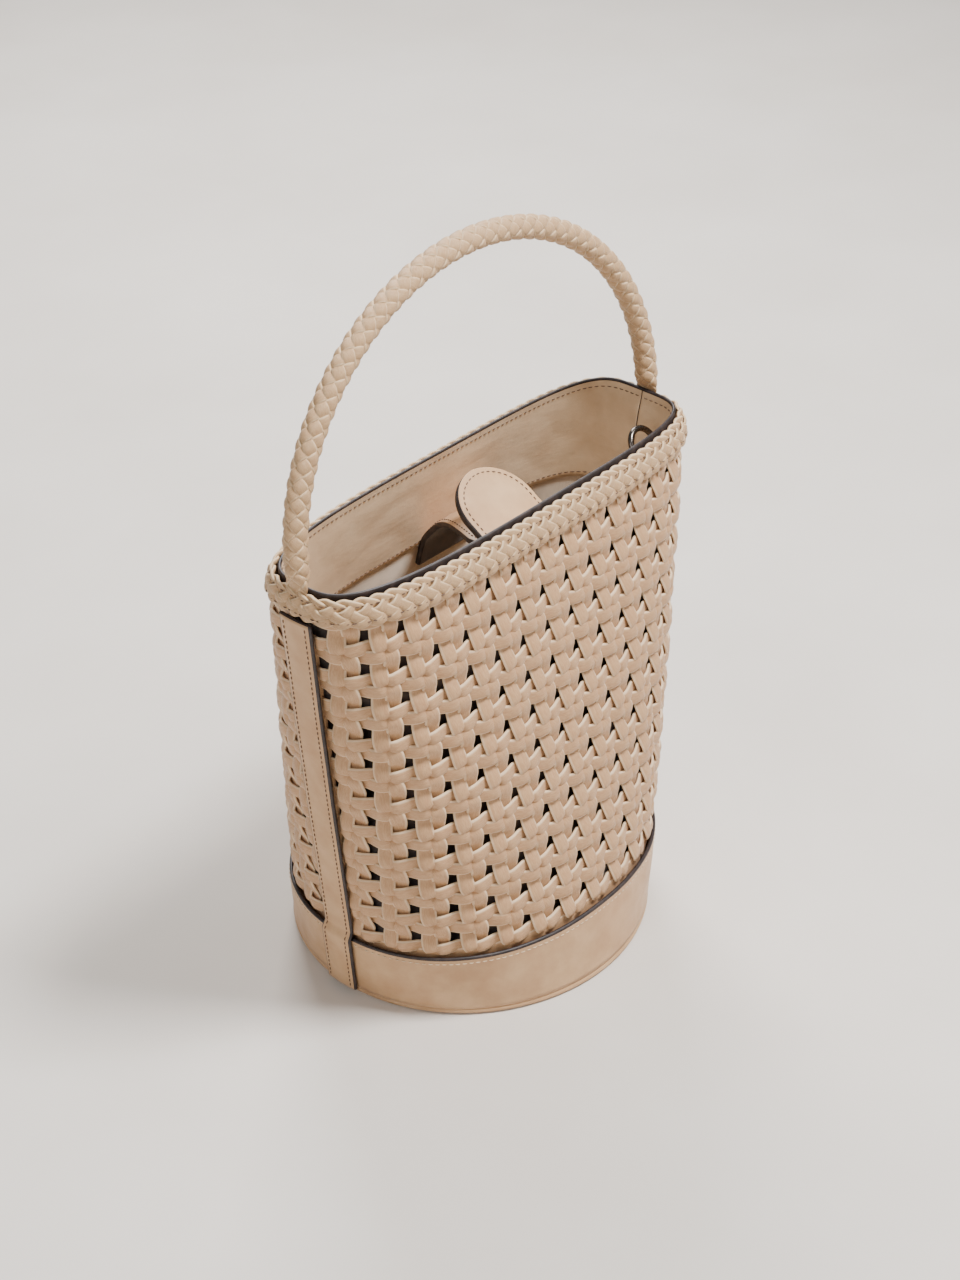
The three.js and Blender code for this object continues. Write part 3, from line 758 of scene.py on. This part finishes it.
def wall_sheet(piece, start, gap, columns, heights, inner, outer, bulge, painted=1, shaded_rows=0):
    """A sheet sewn to the wall from start to start + 1, less a gap at each end seam, with a closed
    section. The last argument counts the rows of faces of its outer side, from the foot up, that are
    dark: painted shade, so that the weave's holes look dark."""
    heights = np.asarray(heights, float)
    z, level, lift, slots = sheet_section(heights, painted)
    slots[:shaded_rows] = 2
    v = np.linspace(start + gap, start + 1 - gap, columns)[:, None]
    grid_z = z[None, :] + lift[None, :] * abs(outer - inner) / 2 + 0 * v
    d = mix(inner, outer, level)[None, :] + bulge(v, grid_z)
    piece.grid(wall(v, grid_z, d), along=np.linspace(0, columns * 0.01, columns), slots=slots)


BAND_INNER, BAND_OUTER = 4.35, 6.3  # how far out the band's faces lie


def band(start, name):
    """The smooth leather band round the foot, its painted top edge and its stitches."""
    gap = 0.4 / half_length(20)
    heights = np.concatenate([np.linspace(BAND_BOTTOM, BAND_TOP - 1.6, 16),
                              [BAND_TOP - 0.9, BAND_TOP - 0.5]])

    def bulge(v, z):
        s = v * 290
        return 0.22 * ripple(s, z, 3) * ease(z, 6, 14) * (1 - 0.6 * ease(z, BAND_TOP - 6, BAND_TOP))

    piece = Piece(f"base_band_{name}_leather")
    wall_sheet(piece, start, gap, 260, heights, BAND_INNER, BAND_OUTER, bulge)
    piece.build([SMOOTH, EDGE], BAG, [f"base_band_{name}"])
    stitches = Piece(f"base_band_{name}_stitches")
    v = np.linspace(start + 0.032, start + 0.968, 500)
    z = np.full(len(v), BAND_TOP - 3.0)
    points = wall(v, z, BAND_OUTER + 0.02 + bulge(v, z))
    stitch_rows(stitches, points, wall_normals(v, z), 3.2, 2.3, 0.28)
    stitches.build([PALE_THREAD], BAG)


band(0, "front")
band(1, "back")

STEP_FROM = 38.5  # the strip steps down from the band to the weave between these heights
STEP_TO = 43.0
OVER_BAND, OVER_WEAVE = 6.85, 4.4  # how far out its inner face lies
SIDE_THICK, SIDE_LIP = 2.0, 0.9


def side_strip(middle, name):
    """The upright strip over an end seam: painted edges and a row of stitches along each."""
    z = np.concatenate([np.linspace(STRIP_BOTTOM, STEP_FROM - 2, 24),
                        np.linspace(STEP_FROM - 1.5, STEP_TO + 2, 16),
                        np.linspace(STEP_TO + 3, STRIP_TOP, 90)])
    half, flat_half = STRIP_WIDTH / 2, STRIP_WIDTH / 2 - SIDE_LIP
    step = ease(z, STEP_FROM - 1, STEP_TO + 0.5)
    inner = mix(OVER_BAND, OVER_WEAVE, step)
    across = np.linspace(-flat_half, flat_half, 13)
    bend = np.linspace(math.pi / 2, -math.pi / 2, 6)[1:-1]
    face_lift = 0.35 * (1 - (across / half) ** 2)
    x = np.concatenate([across, flat_half + SIDE_LIP * np.cos(bend), across[::-1],
                        -flat_half - SIDE_LIP * np.cos(bend)])
    h = np.concatenate([SIDE_THICK / 2 + face_lift, SIDE_THICK / 2 * np.sin(bend),
                        np.full(len(across), -SIDE_THICK / 2), -SIDE_THICK / 2 * np.sin(bend)])
    slots = np.zeros(len(x), int)
    slots[len(across) - 1:len(across) + 5] = 1
    slots[2 * len(across) + 3:] = 1
    sway = 0.25 * np.sin(z / 31)
    grid_z = z[:, None] + 0 * x[None, :]
    s = x[None, :] + sway[:, None]
    d = inner[:, None] + SIDE_THICK / 2 + h[None, :] + 0.12 * ripple(s, grid_z, 10 + 2 * middle)
    piece = Piece(f"side_strip_{name}_leather")
    piece.grid(wall(middle + s / half_length(grid_z), grid_z, d), slots=slots, along=z * 0.01)
    piece.build([SMOOTH, EDGE], BAG, [f"side_strip_{name}"])
    stitches = Piece(f"side_strip_{name}_stitches")
    for offset in (-half + 2.6, half - 2.6):
        v = middle + (offset + sway) / half_length(z)
        level = inner + SIDE_THICK + 0.30 + 0.12 * ripple(offset + sway, z, 10 + 2 * middle)
        points = wall(v, z, level)
        stitch_rows(stitches, points[1:-1], wall_normals(v, z)[1:-1], 3.0, 2.0, 0.27)
    stitches.build([DARK_THREAD], BAG)


side_strip(0, "left")
side_strip(1, "right")


FACING_THICK = 1.6
LINING_THICK = 1.0


def facing(start, name):
    """The leather facing inside the mouth, with a painted top edge and two rows of stitches."""
    gap = 0.25 / half_length(240)
    heights = np.concatenate([np.linspace(FACING_BOTTOM, FACING_TOP - 2, 30),
                              [FACING_TOP - 1.1, FACING_TOP - 0.6]])

    def bulge(v, z):
        s = v * 300
        soft = 1 - ease(z, FACING_TOP - 14, FACING_TOP - 3)
        pleats = np.sin(s / 5.2 + 0.6 * np.sin(z / 9)) * ease(np.abs(v % 1 - 0.5), 0.40, 0.47)
        return -soft * (0.25 + 0.35 * np.abs(ripple(s, z, 20 + 2 * start)) + 0.3 * (1 + pleats) / 2)

    piece = Piece(f"facing_{name}_leather")
    # Below the braid the facing's outer face is painted dark, as painted shade in the weave's holes.
    covered = int(np.sum(heights < RIM_BOTTOM + 2))
    wall_sheet(piece, start, gap, 320, heights, -FACING_THICK, 0.0, bulge, 4, covered)
    piece.build([FACING, EDGE, SUEDE_AND_SHADE], BAG, [f"facing_{name}"])
    stitches = Piece(f"facing_{name}_stitches")
    v = np.linspace(start + 0.004, start + 0.996, 700)
    for height in (FACING_TOP - 4.2, FACING_BOTTOM + 2.6):
        z = np.full(len(v), height)
        points = wall(v, z, -FACING_THICK - 0.02 + bulge(v, z))
        stitch_rows(stitches, points, -wall_normals(v, z), 3.1, 2.2, 0.27)
    stitches.build([DARK_THREAD], BAG)


facing(0, "front")
facing(1, "back")


def lining(start, name):
    """The soft fabric lining, hanging in shallow folds below the facing."""
    gap = 0.25 / half_length(100)

    def bulge(v, z):
        s = v * 285
        loose = ease(z, 8, 40) * (1 - ease(z, FACING_BOTTOM - 16, FACING_BOTTOM - 1))
        folds = np.sin(s / 9.5 + 1.3 * np.sin(z / 34) + 0.8 * np.sin(s / 37))
        return -loose * (1.6 + 1.1 * folds + 0.8 * ripple(s, z, 30 + 2 * start))

    piece = Piece(f"lining_{name}_cloth")
    heights = np.linspace(4.8, FACING_BOTTOM - 0.6, 70)
    # Its whole outer face is painted dark, as painted shade in the weave's holes.
    wall_sheet(piece, start, gap, 240, heights, -LINING_THICK, 0.0, bulge, 0, len(heights))
    piece.build([LINING, LINING, SUEDE_AND_SHADE], BAG, [f"lining_{name}"])


lining(0, "front")
lining(1, "back")

# ---------------- base


def oval_plate(node, kind, outset, rings, soft, material):
    """A round-edged oval plate, as rings from the middle of its underside to that of its top."""
    z_low, z_high = (corner[2] for corner in node_box(node))
    angle = np.linspace(0, 2 * math.pi, 240, endpoint=False)
    radius = min(0.8, (z_high - z_low) / 2)
    bend = np.linspace(-math.pi / 2, math.pi / 2, 6)
    shares = np.linspace(0.02, 1, rings)
    rows = [(share, 0.0, z_low) for share in shares[:-1]]
    rows += [(1.0, -radius + radius * math.cos(b), mix(z_low + radius, z_high - radius,
              (math.sin(b) + 1) / 2) + radius * math.sin(b)) for b in bend]
    rows += [(share, 0.0, z_high) for share in shares[:-1][::-1]]
    points = []
    for share, pull, z in rows:
        half_x = (FLOOR_HALF[0] + outset) * share + pull
        half_y = (FLOOR_HALF[1] + outset) * share + pull
        x = FLOOR_CENTRE[0] + half_x * np.cos(angle)
        y = FLOOR_CENTRE[1] + half_y * np.sin(angle)
        height = z + soft * ripple(x, y, 5) * (1 if z > z_low else 0)
        points.append(np.stack([x, y, np.broadcast_to(height, x.shape)], 1))
    piece = Piece(f"{node}_{kind}")
    piece.grid(np.array(points))
    piece.build([material], BAG, [node])


PIPING_HEIGHT, PIPING_OUTSET, PIPING_RADIUS = 1.75, 4.9, 1.7


def base():
    oval_plate("base_panel", "leather", BASE_PANEL_OUTSET, 14, 0.0, SMOOTH)
    oval_plate("lining_base", "cloth", -3.0, 40, 0.35, LINING)
    piece = Piece("base_piping_roll")
    v = np.linspace(0, 2, 420)
    turn = np.linspace(0, 2 * math.pi, 12, endpoint=False)
    z = PIPING_HEIGHT + PIPING_RADIUS * np.sin(turn)[None, :] + 0 * v[:, None]
    d = PIPING_OUTSET + PIPING_RADIUS * np.cos(turn)[None, :] + 0 * v[:, None]
    piece.grid(wall(v[:, None], z, d), caps=False, along=v * 3)
    piece.build([SMOOTH], BAG, ["base_piping"])


base()

# ---------------- handle

PIVOT = joint_at("handle_swing")
ARCH_HALF_SPAN = 117.2
ARCH_RISE = 107.0
LEAN = math.radians(5.7)
BRAID_LEAD = 32.0  # a strand goes once round in this length
BRAID_HANDS = 4  # strands each way round
BRAID_RADIUS = 4.15
BRAID_SWING = 0.75
STRAND_SECTION = strip_section(2.65, 1.0)
STRAND_CROWN = 0.3
HANDLE_STEP = 0.8
TAIL_LENGTH = 13.0  # the braid's end, flattened and sewn in at the mouth


def arch_line():
    """The handle's centre line: the sewn tail at the left, the arch and the right tail."""
    angle = np.linspace(0, math.pi, 900)
    x = -ARCH_HALF_SPAN * np.cos(angle)
    up = ARCH_RISE * np.sin(angle)
    points = np.stack([x, 0 * x, up], 1)
    lean = np.array([[1, 0, 0], [0, math.cos(LEAN), -math.sin(LEAN)],
                     [0, math.sin(LEAN), math.cos(LEAN)]])
    points = points @ lean + PIVOT
    down = np.linspace(TAIL_LENGTH, 0, 30)[:-1]
    tails = []
    for foot, v in ((points[0], 0.0), (points[-1], 1.0)):
        z = foot[2] - down
        sewn = wall(np.full(len(z), v), z, 1.75)
        free = ease(z, 248, 258)[:, None]
        tails.append(mix(sewn, np.stack([foot[0] + 0 * z, foot[1] + 0 * z, z], 1), free))
    return np.concatenate([tails[0], points, tails[1][::-1]])


def handle():
    """A round braid of strands that wind both ways, over one and under one."""
    line = arch_line()
    length = line_lengths(line)
    total = length[-1]
    s = np.linspace(0, total, int(total / HANDLE_STEP))
    tangent = unit(np.gradient(sample_line(s, length, line), axis=0))
    side = np.array([0, math.cos(LEAN), -math.sin(LEAN)])
    pitch_angle = math.atan2(2 * math.pi * BRAID_RADIUS, BRAID_LEAD)
    x = STRAND_SECTION[:, 0][None, :]
    h = (STRAND_SECTION[:, 1] + STRAND_CROWN * STRAND_SECTION[:, 2])[None, :]
    piece = Piece("handle_braid_leather")
    for hand in (1, -1):
        for strand in range(BRAID_HANDS):
            turn = hand * 2 * math.pi * s / BRAID_LEAD + 2 * math.pi * strand / BRAID_HANDS
            wave = hand * sharpened(np.cos(8 * math.pi * s / BRAID_LEAD), 0.75)
            radius = BRAID_RADIUS + BRAID_SWING * wave
            at = np.clip(s[:, None] - hand * x * math.sin(pitch_angle), 0, total)
            theta = turn[:, None] + x * math.cos(pitch_angle) / BRAID_RADIUS
            r = radius[:, None] + h
            centre = sample_line(at, length, line)
            along = sample_line(at, s, tangent)
            outward_axis = unit(np.cross(np.broadcast_to(side, along.shape), along))
            foot = np.minimum(at, total - at)
            flat = ease(foot, TAIL_LENGTH - 8.0, TAIL_LENGTH + 2.0)
            thin = mix(0.17, 1.0, flat)[..., None]
            broad = mix(1.15, 1.0, flat)[..., None]
            points = centre + outward_axis * (r * np.cos(theta))[..., None] * thin
            points += side * (r * np.sin(theta))[..., None] * broad
            piece.grid(points, edge=STRIP_EDGE_HIGHLIGHT, along=s * 0.02, tint=random.uniform(0, 3))
    obj = piece.build([BRAIDED], None,
                      ["handle_braid", "handle_end_left", "handle_end_right"])
    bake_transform(obj)


handle()

# ---------------- closure tab and strap

TAB_LINE = [(-3, -46.1, 209), (-3, -44.9, 221), (-3, -44.0, 229.6), (-3, -42.3, 232.9),
            (-3, -39.4, 235.3), (-3, -35.1, 237.7), (-3, -8.1, 254.0)]
STRAP_LINE = [(23, 31.6, 186), (23, 30.0, 193), (23, 28.3, 199.2), (21.8, 24.9, 204.5),
              (19.6, 17.4, 212.9), (17.4, 11.2, 218.2), (12, 1, 223.9), (6, -11, 227.5),
              (0.5, -23, 229.9), (-3, -36.5, 231.4)]


TONGUE_LIP = 0.75  # width of the rounded edge
TONGUE_INSET = 3.0  # stitches from the edge
TONGUE_WAVE = 0.12


def smooth_line(points):
    """A centripetal Catmull-Rom curve through points, and each point's distance along it."""
    p = np.array(points, float)
    p = np.vstack([2 * p[0] - p[1], p, 2 * p[-1] - p[-2]])
    out = []

    def between(ta, a, tb, b):
        return (tb - t) / (tb - ta) * a + (t - ta) / (tb - ta) * b

    for a, b, c, d in zip(p[:-3], p[1:-2], p[2:-1], p[3:]):
        t0 = 0.0
        t1 = t0 + np.linalg.norm(b - a) ** 0.5
        t2 = t1 + np.linalg.norm(c - b) ** 0.5
        t3 = t2 + np.linalg.norm(d - c) ** 0.5
        t = np.linspace(t1, t2, 60)[:, None]
        a1, a2, a3 = between(t0, a, t1, b), between(t1, b, t2, c), between(t2, c, t3, d)
        b1, b2 = between(t0, a1, t2, a2), between(t1, a2, t3, a3)
        out.append(between(t1, b1, t2, b2)[:-1])
    fine = np.vstack(out + [p[-2][None]])
    return fine, line_lengths(fine)


def tongue(name, points, width, thickness, face_side, crown, replaced):
    """A leather tongue with a round tip, painted edges and stitches round it.
    face_side is 1 where the face looks along the line's normal, and -1 where it looks away."""
    fine, along = smooth_line(points)
    total, half = along[-1], width / 2
    straight = np.linspace(0, total - half, 90)
    bend = np.linspace(0, math.radians(88), 30)[1:]
    at = np.concatenate([straight, total - half + half * np.sin(bend)])
    half_width = np.concatenate([np.full(len(straight), half), half * np.cos(bend)])
    centre = sample_line(at, along, fine)
    ahead = sample_line(np.clip(at + 0.5, 0, total), along, fine)
    behind = sample_line(np.clip(at - 0.5, 0, total), along, fine)
    tangent = ahead - behind
    normal = face_side * unit(np.stack([0 * at, -tangent[:, 2], tangent[:, 1]], 1))
    share = np.linspace(-1, 1, 17)
    round_edge = np.linspace(math.pi / 2, -math.pi / 2, 7)[1:-1]
    flat_half = np.maximum(half_width - TONGUE_LIP, 0.02)
    lip_now = np.minimum(TONGUE_LIP, half_width)
    half_thick = np.full((len(at), 1), thickness / 2)
    tip = ease(half_width, 0, 3.0)
    face = crown * (1 - np.abs(share) ** 2.4)
    x = np.concatenate([flat_half[:, None] * share,
                        flat_half[:, None] + lip_now[:, None] * np.cos(round_edge),
                        flat_half[:, None] * share[::-1],
                        -flat_half[:, None] - lip_now[:, None] * np.cos(round_edge)], 1)
    h = np.concatenate([half_thick + tip[:, None] * face, half_thick * np.sin(round_edge),
                        -half_thick * np.ones(len(share)),
                        half_thick * np.sin(round_edge[::-1])], 1)
    h += TONGUE_WAVE * ripple(x, at[:, None] + 0 * x, 41)
    grid = centre[:, None, :] + normal[:, None, :] * h[..., None]
    grid[..., 0] += x
    slots = np.zeros(x.shape[1], int)
    slots[len(share) - 1:len(share) + len(round_edge)] = 1
    slots[2 * len(share) + len(round_edge) - 1:] = 1
    # The strap's underside is dark: partly its dark suede, partly painted shade under its arch.
    if face_side < 0:
        slots[len(share) + len(round_edge):2 * len(share) + len(round_edge) - 1] = 2
    piece = Piece(name)
    piece.grid(grid, slots=slots, along=at * 0.01)
    obj = piece.build([SMOOTH, EDGE, SUEDE_AND_SHADE], None, replaced)
    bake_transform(obj)

    arc = np.linspace(0, math.pi, 40)
    from_root = np.linspace(4, total - half, 80)
    stitched = half - TONGUE_INSET
    path_at = np.concatenate([from_root, total - half + stitched * np.sin(arc)[1:-1],
                              from_root[::-1]])
    path_x = np.concatenate([np.full(80, stitched), stitched * np.cos(arc)[1:-1],
                             np.full(80, -stitched)])
    path_normal = sample_line(path_at, at, normal)
    local = np.interp(path_at, at, half_width)
    height = thickness / 2 + crown * (1 - np.abs(path_x / np.maximum(local, 1)) ** 2.4) - 0.02
    height += TONGUE_WAVE * ripple(path_x, path_at, 41)
    line = sample_line(path_at, along, fine) + path_normal * height[:, None]
    line[:, 0] += path_x
    stitches = Piece(f"{name}_stitches")
    stitch_rows(stitches, line, path_normal, 2.9, 2.0, 0.30)
    thread_obj = stitches.build([DARK_THREAD], None)
    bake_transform(thread_obj)


tongue("tab_leather", TAB_LINE, 42.0, 3.7, 1, 0.55, ["tab_face", "tab_backing", "tab_anchor"])
tongue("strap_leather", STRAP_LINE, 38.0, 2.9, -1, 0.4,
       ["strap_face", "strap_backing", "strap_anchor"])

# ---------------- snap halves, ring and loop


def snap_disc(node, name, body):
    """Half of a magnetic snap: a stepped disc with a rounded rim."""
    source = frame["nodes"][node]
    points = np.array([vertex.co for vertex in source.data.vertices]) / MM
    centre = points.mean(0)
    axis = np.linalg.svd(points - centre)[2][-1]
    first = unit(np.cross(axis, (1, 0, 0)))
    second = np.cross(axis, first)
    profile = [(0.1, -0.7), (6.2, -0.7), (6.8, -0.45), (7.0, 0), (6.8, 0.45), (6.2, 0.7),
               (3.4, 0.7), (3.0, 0.45), (2.6, 0.45), (0.1, 0.45)]
    angle = np.linspace(0, 2 * math.pi, 64, endpoint=False)
    rows = [centre + axis * up + radius * (np.cos(angle)[:, None] * first
            + np.sin(angle)[:, None] * second) for radius, up in profile]
    piece = Piece(name)
    piece.grid(np.array(rows))
    piece.build([NICKEL], body, [node])


snap_disc("tab_snap", "tab_snap_disc", TAB)
snap_disc("strap_snap", "strap_snap_disc", STRAP)

RING_WIRE = joint_at("ring_turn")  # the middle of the ring's straight side
RING_HALF, RING_CORNER, RING_SIDE, WIRE = 7.5, 2.0, 5.0, 1.5
RING_LEAN = math.radians(35)


def dee_ring():
    """A D-shaped ring of round wire."""
    def arc(x, up, radius, start, end, count):
        angle = np.linspace(start, end, count)
        return np.stack([x + radius * np.cos(angle), up + radius * np.sin(angle)], 1)

    outline = np.concatenate([
        arc(RING_HALF - RING_CORNER, RING_CORNER, RING_CORNER, -math.pi / 2, 0, 12),
        arc(0, RING_SIDE, RING_HALF, 0, math.pi, 60),
        arc(RING_CORNER - RING_HALF, RING_CORNER, RING_CORNER, math.pi, 1.5 * math.pi, 12),
        np.stack([np.linspace(RING_CORNER - RING_HALF, RING_HALF - RING_CORNER, 12)[1:],
                  np.zeros(11)], 1)])
    up_axis = np.array([0, math.sin(RING_LEAN), math.cos(RING_LEAN)])
    across = np.array([1.0, 0, 0])
    plane = np.cross(across, up_axis)
    line = RING_WIRE + outline[:, :1] * across + outline[:, 1:] * up_axis
    tangent = np.roll(line, -1, 0) - np.roll(line, 1, 0)
    tangent[-1] = line[0] - line[-2]
    outward_axis = unit(np.cross(tangent, plane))
    turn = np.linspace(0, 2 * math.pi, 18, endpoint=False)
    ring = (line[:, None, :] + WIRE * np.cos(turn)[None, :, None] * outward_axis[:, None, :]
            + WIRE * np.sin(turn)[None, :, None] * plane)
    piece = Piece("dee_ring_wire")
    piece.grid(ring, caps=False)
    piece.build([NICKEL], RING, ["d_ring"])


dee_ring()


# CAD nodes that stay in view, or inside, get their finish.
for node, material in (("base_stiffener", BOARD), ("handle_core", CORD), ("ring_loop", SMOOTH),
                       ("side_backing_left", SMOOTH), ("side_backing_right", SMOOTH)):
    frame["nodes"][node].data.materials.clear()
    frame["nodes"][node].data.materials.append(material)

# ---------------- floor and light


FLOOR_SIZE = 4.0
FLOOR_DROP = 0.0002  # just under the bag, so that the two faces don't flicker
WORLD_STRENGTH = 0.32
LIGHTS = (("key", (0.30, -0.60, 1.55), 0.38, 46.0), ("back", (0.75, 0.95, 1.15), 0.6, 26.0),
          ("side", (-1.4, -0.2, 1.0), 0.8, 7.0))  # name, place, size, power
LIT_POINT = (0, 0, 0.15)


def studio():
    mesh = bpy.data.meshes.new("floor")
    corners = [(x * FLOOR_SIZE, y * FLOOR_SIZE, 0) for x, y in ((-1, -1), (1, -1), (1, 1), (-1, 1))]
    mesh.from_pydata(corners, [], [(0, 1, 2, 3)])
    mesh.materials.append(floor_material())
    floor = bpy.data.objects.new("floor", mesh)
    floor.location.z = -FLOOR_DROP
    bpy.context.scene.collection.objects.link(floor)
    world = bpy.data.worlds.new("studio")
    world.use_nodes = True
    world.node_tree.nodes["Background"].inputs["Color"].default_value = (1.0, 0.97, 0.94, 1)
    world.node_tree.nodes["Background"].inputs["Strength"].default_value = WORLD_STRENGTH
    bpy.context.scene.world = world
    for name, place, size, power in LIGHTS:
        data = bpy.data.lights.new(name, "AREA")
        data.size = size
        data.energy = power
        light = bpy.data.objects.new(name, data)
        light.location = place
        aim = Vector(LIT_POINT) - Vector(place)
        light.rotation_mode = "QUATERNION"
        light.rotation_quaternion = aim.to_track_quat("-Z", "Y")
        bpy.context.scene.collection.objects.link(light)


studio()
